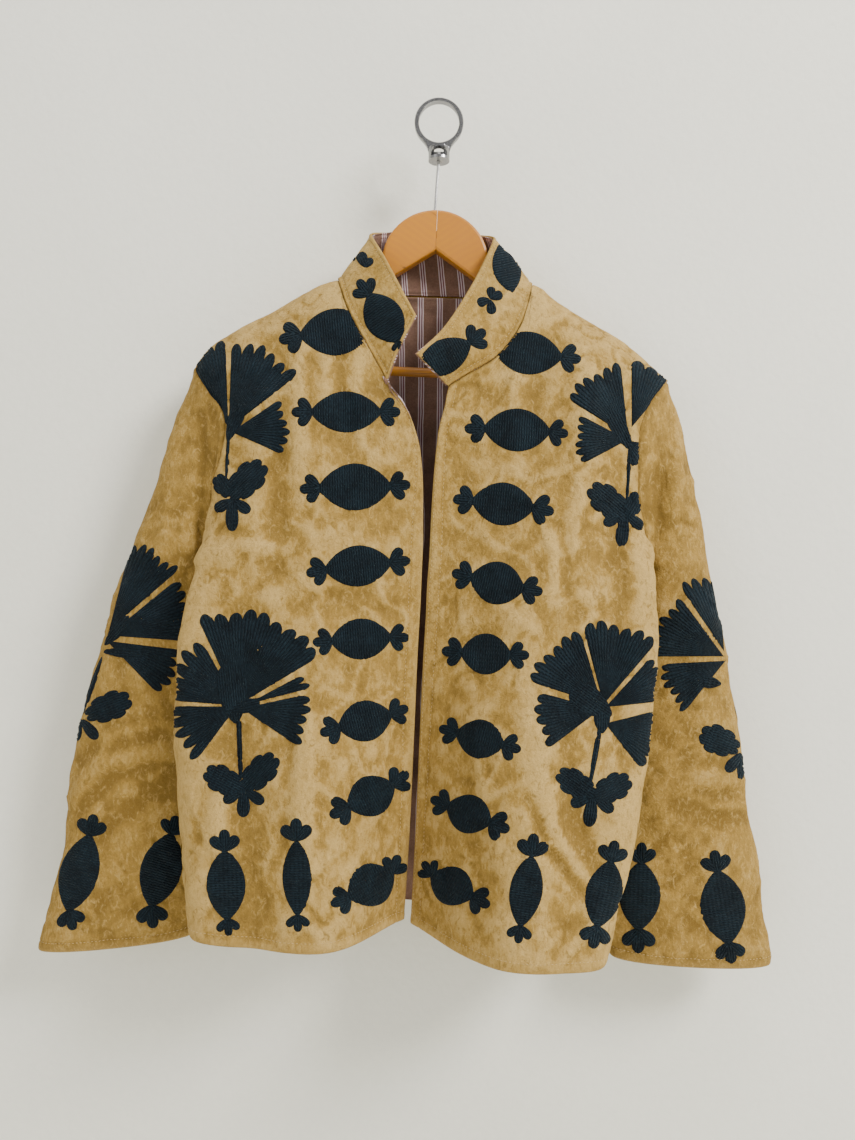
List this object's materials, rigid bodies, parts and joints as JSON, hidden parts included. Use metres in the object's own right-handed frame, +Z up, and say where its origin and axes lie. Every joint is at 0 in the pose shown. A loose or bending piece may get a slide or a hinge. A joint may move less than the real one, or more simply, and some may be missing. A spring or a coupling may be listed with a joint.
{
  "type": "short embroidered velvet coat on a wooden hanger",
  "caption": "Short open-front velvet coat with a standing collar, wide sleeves, dark chain-stitch embroidery and a striped lining, hung on a wooden hanger.",
  "frame": {"origin": "top of the inside of the hanger's ring, where a hook carries it", "axes": "+X towards the viewer's right as the coat's front is seen, -Y out of the front, +Z up"},
  "size_m": [0.656, 0.1476, 0.776],
  "materials": {
    "velvet": "crushed mustard cotton velvet with navy chain-stitch embroidery",
    "striped_cotton": "brown cotton with thin white and pink stripes",
    "wood_left": "satin lacquer",
    "wood_right": "satin lacquer",
    "steel": "polished"
  },
  "bodies": {
    "root": {"front_left": "velvet", "front_right": "velvet", "back": "velvet", "back_lining": "striped_cotton", "sleeve_left": "velvet", "sleeve_right": "velvet", "collar": "velvet", "collar_lining": "striped_cotton", "pocket_facing_left": "striped_cotton", "hanger_arm_left": "wood_left", "hanger_arm_right": "wood_right", "hanger_bar": "wood_right", "hanger_stem": "steel", "hanger_ring": "steel"}
  },
  "joints": []
}
